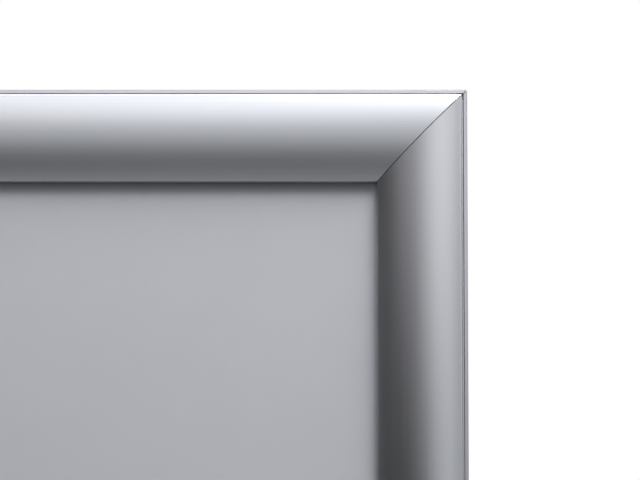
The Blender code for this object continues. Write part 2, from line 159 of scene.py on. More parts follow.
# A softbox: name, place and target from the fold, size in metres, watts
SOFTBOXES = (
    ("overhead", (0, -0.27, 0.90), (0, -0.05, 0), (1.8, 0.5), 4.9),
    ("overhead_right", (0.72, -0.27, 0.90), (0.25, 0, -0.05), (0.9, 0.5), 12.6),
    ("right", (0.90, -0.30, 0.55), (0.25, 0, -0.05), (0.6, 0.4), 1.9),
    ("front_left", (0.1, -0.50, 0.32), (0.2, 0, -0.05), (0.8, 0.3), 0.18),
    ("corner", (0.20, -0.50, 0.22), (0.20, 0, -0.03), (0.22, 0.2), 0.04),
    ("rear", (-0.8, 1.9, 0.5), (0, 0.15, -0.4), (1.2, 1.0), 19),
    ("floor_front", (0, -1.2, -0.22), (0, -1.2, -1.1), (2.4, 1.2), 9),
    ("floor_rear", (0, 1.2, -0.22), (0, 1.2, -1.1), (2.4, 1.2), 9),
)


def leaf_axes(leaf):
    """x to the leaf's right, y up it and z out of its face, about the fold's axis."""
    across = Vector(JOINTS[f"{leaf}_bottom_cover_hinge"]["axis"])
    up = Vector(JOINTS[f"{leaf}_right_cover_hinge"]["axis"])
    turn = Matrix((across, up, across.cross(up))).transposed()
    return Matrix.Translation(FOLD) @ turn.to_4x4()


LEAF = {leaf: leaf_axes(leaf) for leaf in LEAVES}
LEAN = math.asin(LEAF["front"][1][1])
FRAME_WIDTH = 2 * abs(JOINTS["front_right_cover_hinge"]["pos_m"][0]) + 2 * PIVOT[0]
TOP_HINGE = LEAF["front"].inverted() @ Vector(JOINTS["front_top_cover_hinge"]["pos_m"])
BOTTOM_HINGE = LEAF["front"].inverted() @ Vector(JOINTS["front_bottom_cover_hinge"]["pos_m"])
FRAME_HEIGHT = TOP_HINGE.y - BOTTOM_HINGE.y + 2 * PIVOT[0]
LEG_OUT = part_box("front_right_leg")[1].x - LEG_SIZE / 2
STAY_LENGTH = abs(JOINTS["left_stay_front_swing"]["pos_m"][1])

# Stands an outline in the leaf's (y, z), with its thickness along x
ACROSS = Matrix.Rotation(math.radians(90), 4, "Z") @ Matrix.Rotation(math.radians(90), 4, "X")


def side_axes(leaf, side):
    """At the middle of a cover's hinge: x inward, y out of the frame's face, z along the side."""
    joint = JOINTS[f"{leaf}_{side}_cover_hinge"]
    along = Vector(joint["axis"])
    out = LEAF[leaf].col[2].to_3d()
    turn = Matrix((out.cross(along), out, along)).transposed()
    return Matrix.Translation(joint["pos_m"]) @ turn.to_4x4()


def side_length(side):
    return FRAME_WIDTH if side in ("top", "bottom") else FRAME_HEIGHT


# Meshes


def arc(centre, radius, start, end, steps):
    """Points along an arc, from one angle to another in degrees, both ends included."""
    angles = [math.radians(start + (end - start) * i / steps) for i in range(steps + 1)]
    return [(centre[0] + radius * math.cos(a), centre[1] + radius * math.sin(a)) for a in angles]


def circle(centre, radius, steps=48):
    return arc(centre, radius, 0, 360, steps)[:-1]


def rounded_rectangle(width, height, radius, steps=8):
    x, y = width / 2 - radius, height / 2 - radius
    centres = [(x, y), (-x, y), (-x, -y), (x, -y)]
    return [p for i, c in enumerate(centres) for p in arc(c, radius, 90 * i, 90 * i + 90, steps)]


def girths(outline):
    """How far each point of a closed outline is along it, and its whole length last."""
    sums = [0.0]
    for a, b in zip(outline, outline[1:] + outline[:1]):
        sums.append(sums[-1] + math.dist(a, b))
    return sums


def bar_mesh(outline, length, setback=None, hole=None, cuts=1):
    """A bar along z about its middle. Its UVs are metres: U round the section, V along it.
    setback is how far each end stands back at (s, h). A hole has as many points as the rim."""
    bm = bmesh.new()
    uv = bm.loops.layers.uv.new("section")
    stations = [i / cuts - 0.5 for i in range(cuts + 1)]

    def skin(points, facing):
        rings = []
        for share in stations:
            ring = []
            for x, y in points:
                back = setback(x, y) if setback else 0.0
                ring.append(bm.verts.new((x, y, 2 * share * (length / 2 - back))))
            rings.append(ring)
        around = girths(points)
        for low, high in zip(rings, rings[1:]):
            for i in range(len(points)):
                j = (i + 1) % len(points)
                corners = [(low[i], i), (low[j], i + 1), (high[j], i + 1), (high[i], i)]
                face = bm.faces.new([c[0] for c in corners][::facing])
                for loop, (vertex, k) in zip(face.loops, corners[::facing]):
                    loop[uv].uv = (around[k], vertex.co.z)
        return rings[0], rings[-1]

    low, high = skin(outline, 1)
    if hole:
        low_in, high_in = skin(hole, -1)
        for i in range(len(outline)):
            j = (i + 1) % len(outline)
            bm.faces.new((low[j], low[i], low_in[i], low_in[j]))
            bm.faces.new((high[i], high[j], high_in[j], high_in[i]))
    else:
        bm.faces.new(low[::-1])
        bm.faces.new(high)
    bmesh.ops.recalc_face_normals(bm, faces=bm.faces)
    return finished(bm)


def finished(bm):
    mesh = bpy.data.meshes.new("mesh")
    bm.to_mesh(mesh)
    bm.free()
    return mesh


def plate_mesh(outlines, thickness):
    """A flat plate from a rim and its holes, thick along z about 0."""
    curve = bpy.data.curves.new("outline", "CURVE")
    curve.dimensions = "2D"
    curve.fill_mode = "BOTH"
    curve.extrude = thickness / 2
    for outline in outlines:
        spline = curve.splines.new("POLY")
        spline.points.add(len(outline) - 1)
        for point, (x, y) in zip(spline.points, outline):
            point.co = (x, y, 0, 1)
        spline.use_cyclic_u = True
    source = bpy.data.objects.new("outline", curve)
    bpy.context.scene.collection.objects.link(source)
    evaluated = source.evaluated_get(bpy.context.evaluated_depsgraph_get())
    mesh = bpy.data.meshes.new_from_object(evaluated)
    bpy.data.objects.remove(source)
    bm = bmesh.new()
    bm.from_mesh(mesh)
    bmesh.ops.remove_doubles(bm, verts=bm.verts, dist=0.01 * MM)
    bmesh.ops.recalc_face_normals(bm, faces=bm.faces)
    return finished(bm)


def turned_mesh(profile, steps=48):
    """A (radius, z) profile turned about z. It starts and ends on the axis."""
    bm = bmesh.new()
    rings = []
    for radius, z in profile:
        if radius == 0:
            rings.append([bm.verts.new((0, 0, z))] * steps)
        else:
            turns = [2 * math.pi * i / steps for i in range(steps)]
            rings.append([bm.verts.new((radius * math.cos(a), radius * math.sin(a), z)) for a in turns])
    for low, high in zip(rings, rings[1:]):
        for i in range(steps):
            j = (i + 1) % steps
            corners = list(dict.fromkeys((low[i], low[j], high[j], high[i])))
            bm.faces.new(corners)
    bmesh.ops.recalc_face_normals(bm, faces=bm.faces)
    return finished(bm)


def lofted_mesh(rings):
    """A skin through rings of as many points each, with its first and last rings capped."""
    bm = bmesh.new()
    made = [[bm.verts.new(point) for point in ring] for ring in rings]
    for low, high in zip(made, made[1:]):
        for i in range(len(low)):
            j = (i + 1) % len(low)
            bm.faces.new((low[i], low[j], high[j], high[i]))
    bm.faces.new(made[0])
    bm.faces.new(made[-1])
    bmesh.ops.recalc_face_normals(bm, faces=bm.faces)
    return finished(bm)


def joined(parts):
    """One mesh from (mesh, matrix) pairs."""
    bm = bmesh.new()
    for mesh, matrix in parts:
        mesh.transform(matrix)
        bm.from_mesh(mesh)
    return finished(bm)


def facing(point, direction):
    """Axes at a point, with z along a direction."""
    turn = Vector(direction).to_track_quat("Z", "Y").to_matrix().to_4x4()
    return Matrix.Translation(point) @ turn


def dome_mesh(radius, height, rim):
    """A domed head on z = 0, over a straight rim."""
    steps = 10
    profile = [(0, 0), (radius, 0), (radius, rim)]
    for i in range(1, steps):
        a = math.radians(90 * i / steps)
        profile.append((radius * math.cos(a), rim + (height - rim) * math.sin(a)))
    profile.append((0, height))
    return turned_mesh(profile)


def add(name, mesh, matrix, body, material, replaces=(), bevel=0.0, sharp=30):
    """One piece: its mesh at a matrix, shaded smooth between sharp edges, riding on a body."""
    mesh.name = name
    mesh.shade_smooth()
    mesh.set_sharp_from_angle(angle=math.radians(sharp))
    mesh.materials.clear()
    mesh.materials.append(material)
    piece = bpy.data.objects.new(name, mesh)
    bpy.context.scene.collection.objects.link(piece)
    piece.matrix_world = matrix
    if bevel:
        rounding = piece.modifiers.new("edges", "BEVEL")
        rounding.width = bevel
        rounding.segments = 2
        rounding.limit_method = "ANGLE"
        rounding.angle_limit = math.radians(sharp)
        rounding.harden_normals = True
    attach(piece, body)
    if replaces:
        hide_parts(*replaces)
    return piece


# Materials


class Nodes:
    """A material's nodes, added and joined in short lines."""

    def __init__(self, name):
        self.material = bpy.data.materials.new(name)
        self.material.use_nodes = True
        self.tree = self.material.node_tree
        self.shader = self.tree.nodes["Principled BSDF"]

    def add(self, kind, inputs=None, **settings):
        node = self.tree.nodes.new("ShaderNode" + kind)
        for key, value in settings.items():
            setattr(node, key, value)
        for key, value in (inputs or {}).items():
            self.put(node.inputs[key], value)
        return node

    def put(self, socket, value):
        if isinstance(value, bpy.types.NodeSocket):
            self.tree.links.new(value, socket)
        else:
            socket.default_value = value

    def set(self, **values):
        for key, value in values.items():
            self.put(self.shader.inputs[key.replace("_", " ")], value)

    def noise(self, vector, scale, detail=2.0, roughness=0.5):
        inputs = {"Vector": vector, "Scale": scale, "Detail": detail, "Roughness": roughness}
        return self.add("TexNoise", inputs).outputs["Fac"]

    def stretched(self, vector, scale):
        return self.add("Mapping", {"Vector": vector, "Scale": scale}).outputs["Vector"]

    def span(self, value, low, high, inside=(0.0, 1.0)):
        """Maps a value from one range, 0 to 1 if not given, to low..high."""
        inputs = {"Value": value, "From Min": inside[0], "From Max": inside[1]}
        inputs.update({"To Min": low, "To Max": high})
        return self.add("MapRange", inputs).outputs["Result"]

    def blend(self, share, first, second):
        mix = self.add("Mix", data_type="RGBA")
        for socket, value in zip((mix.inputs[0], mix.inputs[6], mix.inputs[7]), (share, first, second)):
            self.put(socket, value)
        return mix.outputs[2]

    def bump(self, height, strength, distance):
        inputs = {"Height": height, "Strength": strength, "Distance": distance}
        return self.add("Bump", inputs).outputs["Normal"]


def grey(value, blue=0.0):
    return (value, value * (1 + 0.4 * blue), value * (1 + blue), 1)


def anodised(name, shade):
    """Satin silver anodising over the faint lines that the die drew along the length."""
    n = Nodes(name)
    uv = n.add("UVMap", uv_map="section").outputs["UV"]
    lines = n.noise(n.stretched(uv, (2600, 5, 1)), 1.0, 4, 0.6)
    grain = n.noise(n.stretched(uv, (5000, 900, 1)), 1.0, 2)
    cloud = n.noise(n.stretched(uv, (60, 6, 1)), 1.0, 2)
    tone = n.blend(n.span(lines, 0, 1, (0.3, 0.7)), grey(0.86 * shade, 0.035), grey(0.91 * shade, 0.03))
    n.set(Base_Color=tone, Metallic=1.0)
    rough = n.add("Math", {0: n.span(lines, 0.28, 0.34), 1: n.span(cloud, -0.015, 0.015)}, operation="ADD")
    n.set(Roughness=rough.outputs[0])
    n.shader.inputs["Anisotropic"].default_value = 0.5
    n.set(Tangent=n.add("Tangent", direction_type="UV_MAP", uv_map="section").outputs["Tangent"])
    both = n.add("Math", {0: lines, 1: n.span(grain, 0, 0.4)}, operation="ADD").outputs[0]
    n.set(Normal=n.bump(both, 0.05, 0.03 * MM))
    return n.material


def anodised_aluminium():
    return anodised("anodised_aluminium", 1.0)


def anodised_rail():
    """The same metal with its colour scaled to RAIL_SHADE of the covers', for the rails' edge beside the covers.
    """
    return anodised("anodised_rail", RAIL_SHADE)


def galvanised_steel():
    """Matt grey sheet with a faint spangle."""
    n = Nodes("galvanised_steel")
    place = n.add("TexCoord").outputs["Object"]
    flakes = n.add("TexVoronoi", {"Vector": place, "Scale": 140.0}).outputs["Color"]
    flake = n.add("SeparateColor", {"Color": flakes}).outputs["Red"]
    fine = n.noise(place, 900.0, 3)
    tone = n.blend(n.span(flake, 0, 0.35), grey(0.60, 0.03), grey(0.65, 0.03))
    n.set(Base_Color=tone, Roughness=n.span(flake, 0.55, 0.68), Metallic=0.05)
    n.set(Normal=n.bump(fine, 0.04, 0.05 * MM))
    return n.material


def clear_sheet():
    """Anti-glare plastic: a matt, slightly milky film."""
    n = Nodes("clear_sheet")
    place = n.add("TexCoord").outputs["Object"]
    frost = n.noise(place, 2600.0, 2)
    haze = n.noise(place, 7.0, 2)
    n.set(Base_Color=n.blend(n.span(haze, 0, 1), grey(0.79, 0.04), grey(0.82, 0.04)))
    n.set(Roughness=n.span(frost, 0.5, 0.6), Alpha=0.3)
    n.set(Normal=n.bump(frost, 0.03, 0.01 * MM))
    return n.material


def coated_tube():
    """Silver grey powder coat, with its fine orange peel."""
    n = Nodes("coated_tube")
    place = n.add("TexCoord").outputs["Object"]
    peel = n.noise(place, 1100.0, 2)
    fleck = n.noise(place, 5200.0, 1)
    n.set(Base_Color=n.blend(n.span(fleck, 0, 1, (0.35, 0.65)), grey(0.36, 0.03), grey(0.44, 0.03)))
    n.set(Roughness=n.span(peel, 0.36, 0.46), Metallic=0.55)
    n.set(Normal=n.bump(peel, 0.12, 0.06 * MM))
    return n.material


def plated_steel():
    """Zinc plated pressings: cool grey with a cloudy sheen."""
    n = Nodes("plated_steel")
    place = n.add("TexCoord").outputs["Object"]
    cloud = n.noise(place, 90.0, 4, 0.6)
    scratch = n.noise(n.stretched(place, (300, 300, 2400)), 1.0, 2)
    n.set(Base_Color=n.blend(n.span(cloud, 0, 1, (0.3, 0.7)), grey(0.50, 0.03), grey(0.64, 0.05)))
    n.set(Roughness=n.span(scratch, 0.26, 0.42), Metallic=1.0)
    n.set(Normal=n.bump(scratch, 0.05, 0.02 * MM))
    return n.material


def spring_steel():
    """Blued strip, with rolling lines and a straw tint in places."""
    n = Nodes("spring_steel")
    place = n.add("TexCoord").outputs["Object"]
    cloud = n.noise(place, 160.0, 3)
    lines = n.noise(n.stretched(place, (2500, 2500, 60)), 1.0, 2)
    n.set(Base_Color=n.blend(n.span(cloud, 0, 1, (0.3, 0.7)), (0.16, 0.18, 0.24, 1), (0.36, 0.33, 0.28, 1)))
    n.set(Roughness=n.span(lines, 0.26, 0.38), Metallic=1.0)
    n.set(Normal=n.bump(lines, 0.06, 0.02 * MM))
    return n.material


def zinc_casting():
    """As-cast zinc: dull, slightly pitted."""
    n = Nodes("zinc_casting")
    place = n.add("TexCoord").outputs["Object"]
    skin = n.noise(place, 700.0, 4, 0.65)
    n.set(Base_Color=n.blend(n.span(skin, 0, 1, (0.3, 0.7)), grey(0.36), grey(0.48, 0.02)))
    n.set(Roughness=n.span(skin, 0.42, 0.6), Metallic=0.9)
    n.set(Normal=n.bump(skin, 0.2, 0.08 * MM))
    return n.material


def black_moulding():
    """Spark-eroded black plastic, scuffed a little paler in patches."""
    n = Nodes("black_moulding")
    place = n.add("TexCoord").outputs["Object"]
    texture = n.noise(place, 1500.0, 3)
    scuffs = n.noise(n.stretched(place, (120, 120, 40)), 1.0, 4, 0.7)
    n.set(Base_Color=n.blend(n.span(scuffs, 0, 1, (0.5, 0.8)), grey(0.022), grey(0.06)))
    n.set(Roughness=n.span(scuffs, 0.5, 0.72, (0.3, 0.8)))
    n.set(Normal=n.bump(texture, 0.25, 0.05 * MM))
    return n.material


MAKERS = (
    anodised_aluminium, anodised_rail, galvanised_steel, clear_sheet, coated_tube,
    plated_steel, spring_steel, zinc_casting, black_moulding,
)  # fmt: skip
MATERIALS = {maker.__name__: maker() for maker in MAKERS}


def paint_cad_nodes():
    """Gives each CAD node the procedural material of its slot in the record."""
    for row in frame["record"]["subparts"]:
        mesh = frame["nodes"][row["node"]].data
        mesh.materials.clear()
        mesh.materials.append(MATERIALS[row["material_slot"]])


# Snap frames


def from_pivot(outline):
    return [(s - PIVOT[0], h - PIVOT[1]) for s, h in outline]


def rail_section():
    floor_angle = 180 + math.degrees(math.acos((PIVOT[0] - RAIL_WALL) / SOCKET_OUTER_RADIUS))
    outer_lip, inner_lip = SOCKET_LIPS
    socket = arc(PIVOT, SOCKET_RADIUS, inner_lip, outer_lip, 40)
    top = socket[-1][1]
    return [
        (0, 0),
        (RAIL_REACH, 0),
        (RAIL_REACH, RAIL_FLOOR),
        (RIB[1], RAIL_FLOOR),
        (RIB[1], RIB_TOP),
        (RIB[0], RIB_TOP),
        (RIB[0], RAIL_FLOOR),
        (RAIL_WALL, RAIL_FLOOR),
        *arc(PIVOT, SOCKET_OUTER_RADIUS, floor_angle, inner_lip, 24),
        *socket,
        (EDGE_CHAMFER, top),
        (0, top - EDGE_CHAMFER),
    ]


def face_centre():
    start = math.radians(FACE_START)
    s = PIVOT[0] - FACE_RADIUS * math.cos(start)
    h = PIVOT[1] + BEAD_RADIUS - FACE_RADIUS * math.sin(start)
    return s, h


def cover_section():
    """Face, nose, underside and bead."""
    centre = face_centre()
    face = arc(centre, FACE_RADIUS, FACE_START, FACE_END, 64)
    tip = face[-1][0]
    inside = FACE_RADIUS - COVER_THICKNESS
    nose_angle = math.degrees(math.acos((tip - NOSE_THICKNESS - centre[0]) / inside))
    neck = arc(centre, inside, nose_angle, FACE_START - 1.2, 48)
    neck_angle = math.degrees(math.atan2(neck[-1][1] - PIVOT[1], neck[-1][0] - PIVOT[0]))
    low = NOSE_BOTTOM + NOSE_ROUND
    return [
        *face,
        *arc((tip - NOSE_ROUND, low), NOSE_ROUND, 0, -90, 8),
        *arc((tip - NOSE_THICKNESS + NOSE_ROUND, low), NOSE_ROUND, -90, -180, 8),
        *neck,
        *arc(PIVOT, BEAD_RADIUS, neck_angle + 352, 94, 36),
    ]


def cover_setback(x, y):
    """The mitre, cut under below the face, with the hidden part of the bead's end kept back."""
    s, h = x + PIVOT[0], y + PIVOT[1]
    centre = face_centre()
    depth = centre[1] + math.sqrt(FACE_RADIUS**2 - (s - centre[0]) ** 2) - h
    mitre = MITRE_GAP / math.sqrt(2)
    on_bead = s < PIVOT[0] - 0.01 * MM
    outside = y >= -x if on_bead else depth < EDGE_CHAMFER
    if outside:
        return s + mitre
    return max(s, BEAD_SETBACK) + mitre + UNDERCUT * max(0.0, depth)


def add_snap_frame(leaf):
    rail, cover = from_pivot(rail_section()), from_pivot(cover_section())
    rail_metal, cover_metal = MATERIALS["anodised_rail"], MATERIALS["anodised_aluminium"]
    for side in SIDES:
        axes, length = side_axes(leaf, side), side_length(side)
        mesh = bar_mesh(rail, length, lambda x, y: x + PIVOT[0] + MITRE_GAP / math.sqrt(2))
        add(
            f"{leaf}_{side}_rail_extrusion", mesh, axes, f"{leaf}_leaf", rail_metal,
            [f"{leaf}_{side}_rail"], bevel=0.12 * MM,
        )  # fmt: skip
        mesh = bar_mesh(cover, length, cover_setback)
        add(
            f"{leaf}_{side}_cover_extrusion", mesh, axes, f"{leaf}_{side}_cover", cover_metal,
            [f"{leaf}_{side}_snap_cover"], bevel=0.12 * MM,
        )  # fmt: skip


def add_springs(leaf, side):
    """Bowed strips that snap the cover shut, from the rail's outer wall to its rib."""
    steps = 24
    (s0, h0), (s1, h1) = SPRING_FOOT, SPRING_TOE
    path = []
    for i in range(steps + 1):
        t = i / steps
        path.append((s0 + (s1 - s0) * t, h0 + (h1 - h0) * t + SPRING_BOW * math.sin(math.pi * t)))
    above = [(s, h + SPRING_THICKNESS / 2) for s, h in path]
    below = [(s, h - SPRING_THICKNESS / 2) for s, h in path]
    strip = from_pivot(above + below[::-1])
    count, pitch = SPRINGS[side], side_length(side) / (SPRINGS[side] + 0.4)
    for i in range(count):
        along = Matrix.Translation((0, 0, (i - (count - 1) / 2) * pitch))
        middle = i == count // 2
        add(
            f"{leaf}_{side}_spring_{i + 1}", bar_mesh(strip, SPRING_LENGTH),
            side_axes(leaf, side) @ along, f"{leaf}_leaf", MATERIALS["spring_steel"],
            [f"{leaf}_{side}_cover_spring"] if middle else (),
        )  # fmt: skip


def add_bracket_screws(leaf):
    """Two screws down each arm of each corner bracket."""
    for side in SIDES:
        axes, reach = side_axes(leaf, side), side_length(side) / 2
        for end in (-1, 1):
            for i, down in enumerate(BRACKET_SCREWS):
                place = (BRACKET_LINE - PIVOT[0], BRACKET_TOP - PIVOT[1], end * (reach - down))
                head = axes @ Matrix.Translation(place) @ Matrix.Rotation(math.radians(-90), 4, "X")
                name = f"{leaf}_{side}_bracket_screw_{'start' if end < 0 else 'end'}_{i + 1}"
                mesh = dome_mesh(*BRACKET_SCREW_HEAD)
                add(name, mesh, head, f"{leaf}_leaf", MATERIALS["plated_steel"])


# Legs, feet and crossbars


def square(size, radius):
    return rounded_rectangle(size, size, radius)


def add_leg(leaf, side, out):
    """The tube, its top plug and the rivets that hold the frame to it."""
    body = f"{leaf}_leaf"
    axes = LEAF[leaf]
    up = Matrix.Rotation(math.radians(-90), 4, "X")
    bore = LEG_SIZE - 2 * LEG_WALL
    middle = Matrix.Translation((out, -(LEG_BOTTOM + LEG_TOP) / 2, LEG_MIDDLE)) @ up
    tube = bar_mesh(
        square(LEG_SIZE, LEG_ROUND), LEG_BOTTOM - LEG_TOP, hole=square(bore, LEG_ROUND - LEG_WALL)
    )
    add(
        f"{leaf}_{side}_leg_tube", tube, axes @ middle, body, MATERIALS["coated_tube"],
        [f"{leaf}_{side}_leg"], bevel=0.25 * MM, sharp=60,
    )  # fmt: skip
    plug_rings = [
        [(x, y, z) for x, y in square(size, radius)]
        for size, radius, z in (
            (bore - 0.4 * MM, 0.9 * MM, -14 * MM),
            (bore - 0.4 * MM, 0.9 * MM, 0),
            (LEG_SIZE - 0.4 * MM, LEG_ROUND, 0),
            (LEG_SIZE - 0.4 * MM, LEG_ROUND, 0.5 * PLUG_FLANGE),
            (LEG_SIZE - 2.4 * MM, LEG_ROUND - 0.7 * MM, PLUG_FLANGE),
        )
    ]
    top = axes @ Matrix.Translation((out, -LEG_TOP, LEG_MIDDLE)) @ up
    add(
        f"{leaf}_{side}_leg_plug", lofted_mesh(plug_rings), top, body,
        MATERIALS["black_moulding"],
    )  # fmt: skip
    steel = MATERIALS["plated_steel"]
    for i, down in enumerate(LEG_RIVETS):
        seat = axes @ facing((out, -down, LEG_BACK), (0, 0, -1))
        name = f"{leaf}_{side}_frame_rivet_{i + 1}"
        add(name, dome_mesh(*FRAME_RIVET_HEAD), seat, body, steel)


def add_foot(leaf, side, out):
    """A moulded cup with a rolled lip, waisted sides and a sole that is level when open."""
    bore = LEG_SIZE + 0.3 * MM
    top = -LEG_BOTTOM + FOOT_DEPTH

    def sole(x, z, lift=0.0):
        level = FOLD.z + (LEG_MIDDLE + z) * math.sin(LEAN) - lift
        return (x, -level / math.cos(LEAN), z)

    def ring(size, radius, y):
        return [(x, y, z) for x, z in square(size, radius)]

    def sole_ring(size, radius, lift):
        return [sole(x, z, lift) for x, z in square(size, radius)]

    rings = [
        ring(bore, LEG_ROUND, -LEG_BOTTOM - 0.3 * MM),
        ring(bore, LEG_ROUND, top - 0.6 * MM),
        ring(bore + 1.0 * MM, 3.0 * MM, top),
        ring(FOOT_SIZE - 1.0 * MM, 3.4 * MM, top),
        ring(FOOT_SIZE - 0.2 * MM, 3.7 * MM, top - 0.3 * MM),
        ring(FOOT_SIZE, 3.8 * MM, top - 1.0 * MM),
        ring(FOOT_SIZE, 3.8 * MM, top - 3.0 * MM),
        ring(FOOT_SIZE - 1.2 * MM, 3.3 * MM, top - 3.9 * MM),
        sole_ring(FOOT_SIZE - 1.2 * MM, 3.3 * MM, 8.0 * MM),
        sole_ring(FOOT_SIZE - 0.1 * MM, 3.6 * MM, 6.6 * MM),
        sole_ring(FOOT_SIZE - 0.1 * MM, 3.6 * MM, 1.0 * MM),
        sole_ring(FOOT_SIZE - 0.7 * MM, 3.5 * MM, 0.25 * MM),
        sole_ring(FOOT_SIZE - 1.9 * MM, 3.4 * MM, 0.02 * MM),
    ]
    mesh = lofted_mesh(rings)
    mesh.transform(LEAF[leaf] @ Matrix.Translation((out, 0, LEG_MIDDLE)))
    add(
        f"{leaf}_{side}_foot_cup", mesh, Matrix(), f"{leaf}_leaf",
        MATERIALS["black_moulding"], [f"{leaf}_{side}_foot"], sharp=50,
    )  # fmt: skip


def add_crossbar(leaf):
    """A flat tube between the legs, with a weld bead round each end."""
    wide, deep = CROSSBAR_SECTION
    inside = rounded_rectangle(wide - 2 * LEG_WALL, deep - 2 * LEG_WALL, LEG_ROUND - LEG_WALL)
    reach = LEG_OUT - LEG_SIZE / 2 - 0.1 * MM
    tube = bar_mesh(rounded_rectangle(wide, deep, LEG_ROUND), 2 * reach, hole=inside)
    middle = LEAF[leaf] @ Matrix.Translation((0, -CROSSBAR_DOWN, LEG_MIDDLE)) @ ACROSS
    add(
        f"{leaf}_crossbar_tube", tube, middle, f"{leaf}_leaf", MATERIALS["coated_tube"],
        [f"{leaf}_crossbar"], sharp=60,
    )  # fmt: skip
    for side, way in (("left", -1), ("right", 1)):
        rings = []
        for i in range(7):
            a = math.radians(15 * i)
            grow, back = 2 * WELD * math.cos(a), WELD * math.sin(a)
            section = rounded_rectangle(wide + grow, deep + grow, LEG_ROUND + grow / 2)
            rings.append([(x, y, way * (reach - back)) for x, y in section])
        add(
            f"{leaf}_{side}_crossbar_weld", lofted_mesh(rings), middle, f"{leaf}_leaf",
            MATERIALS["coated_tube"],
        )  # fmt: skip


# Fold hinges and stays


def hinge_roll():
    """The rolled end of a hinge plate, in (y, z), from where the flat of the plate ends."""
    back, front = HINGE_PLATE
    start = math.degrees(math.asin(back / KNUCKLE_RADIUS))
    end = math.degrees(math.asin(front / KNUCKLE_RADIUS))
    roll = arc((0, 0), KNUCKLE_RADIUS, 180 - start, 540 - end, 56)
    return [(-HINGE_FLAT, back), *roll, (-HINGE_FLAT, front)]


def plate_outline(half, top, bottom, radius):
    """Square across the top, and with round corners at the bottom."""
    left = arc((radius - half, bottom + radius), radius, 180, 270, 8)
    right = arc((half - radius, bottom + radius), radius, 270, 360, 8)
    return [(-half, top), *left, *right, (half, top)]


def add_hinge_plate(name, leaf, out, knuckles, replaces):
    """The flat of the plate with its rivets, and its knuckles between the limits given."""
    back, front = HINGE_PLATE
    rim = plate_outline(LEG_SIZE / 2, -HINGE_FLAT, -HINGE_LENGTH, 3 * MM)
    holes = [circle((0, -down), HINGE_HOLE, 32) for down in HINGE_RIVETS]
    flat = plate_mesh([rim, *holes], front - back)
    parts = [(flat, Matrix.Translation((0, 0, (front + back) / 2)))]
    for low, high in knuckles:
        knuckle = plate_mesh([hinge_roll(), circle((0, 0), HINGE_BORE, 40)], high - low)
        parts.append((knuckle, Matrix.Translation(((low + high) / 2, 0, 0)) @ ACROSS))
    place = LEAF[leaf] @ Matrix.Translation((out, 0, 0))
    steel, body = MATERIALS["plated_steel"], f"{leaf}_leaf"
    mesh = joined(parts)
    add(name, mesh, place, body, steel, replaces, bevel=0.15 * MM, sharp=40)
    radius = HINGE_HOLE - 0.1 * MM
    profile = [
        (0, 1.4 * MM),
        (radius, 1.4 * MM),
        (radius, 0.3 * MM),
        (radius - 0.4 * MM, 0.08 * MM),
        (0, 0),
    ]
    for i, down in enumerate(HINGE_RIVETS):
        seat = place @ Matrix.Translation((0, -down, back))
        rivet = f"{name}_rivet_{i + 1}"
        add(rivet, turned_mesh(profile), seat, body, steel)


def add_fold_hinge(side, way):
    """Two plates behind a pair of leg tops, the front one with the middle knuckle."""
    middle, edge = KNUCKLE_WIDTH / 2, LEG_SIZE / 2
    gap = middle + KNUCKLE_GAP
    add_hinge_plate(
        f"{side}_hinge_front_leaf_plate", "front", way * LEG_OUT, [(-middle, middle)],
        [f"{side}_hinge_front_plate"],
    )  # fmt: skip
    add_hinge_plate(
        f"{side}_hinge_rear_leaf_plate", "rear", -way * LEG_OUT, [(-edge, -gap), (gap, edge)],
        [f"{side}_hinge_rear_plate"],
    )  # fmt: skip
    head, height = PIN_HEAD
    shoulder = edge + 0.3 * MM
    rise = (0.3 * MM, 0.75 * height, height)
    dome = [(head * share, shoulder + up) for share, up in zip((1, 0.9, 0.6), rise)]
    profile = [(0, shoulder + height), *dome[::-1], (head, shoulder), (2 * MM, shoulder)]
    profile += [(r, -z) for r, z in reversed(profile)]
    place = LEAF["front"] @ facing((way * LEG_OUT, 0, 0), (1, 0, 0))
    add(
        f"{side}_hinge_rivet_pin", turned_mesh(profile), place, "front_leaf",
        MATERIALS["plated_steel"], [f"{side}_hinge_pin"],
    )  # fmt: skip


def add_stay(side, way):
    """Two flat links from the legs to the stay's middle, with the pivots at their ends."""
    steel = MATERIALS["plated_steel"]
    outward = Vector((way, 0, 0))
    for leaf, reach in (("front", 1), ("rear", -1)):
        body = f"{side}_{leaf}_link"
        pivot = Vector(JOINTS[f"{side}_stay_{leaf}_swing"]["pos_m"])
        turn = Matrix(((0, reach, 0), (0, 0, 1), (reach, 0, 0))).transposed().to_4x4()
        bar = arc((0, 0), STAY_HALF_WIDTH, 90, 270, 24)
        bar += arc((STAY_LENGTH, 0), STAY_HALF_WIDTH, -90, 90, 24)
        mesh = plate_mesh([bar, circle((0, 0), BOLT_RADIUS + 0.3 * MM, 40)], STAY_THICKNESS)
        add(
            f"{side}_stay_{leaf}_bar", mesh, Matrix.Translation(pivot) @ turn, body, steel,
            [f"{side}_stay_{leaf}_link"], bevel=0.3 * MM,
        )  # fmt: skip
        middle = pivot + Vector((0, reach * STAY_LENGTH, 0))
        if leaf == "front":
            seat = facing(middle + outward * STAY_THICKNESS / 2, outward)
            head = dome_mesh(*STAY_FRONT_HEAD)
            washer = dome_mesh(*STAY_WASHER)
            under = facing(middle - outward * STAY_THICKNESS / 2, -outward)
            add(
                f"{side}_stay_washer", washer, under, body,
                MATERIALS["black_moulding"],
            )  # fmt: skip
        else:
            seat = facing(middle - outward * STAY_THICKNESS / 2, -outward)
            head = dome_mesh(*STAY_REAR_HEAD)
        add(f"{side}_stay_{leaf}_middle_rivet", head, seat, body, steel)
        add_stay_bolt(side, leaf, -way * reach, f"{leaf}_leaf")


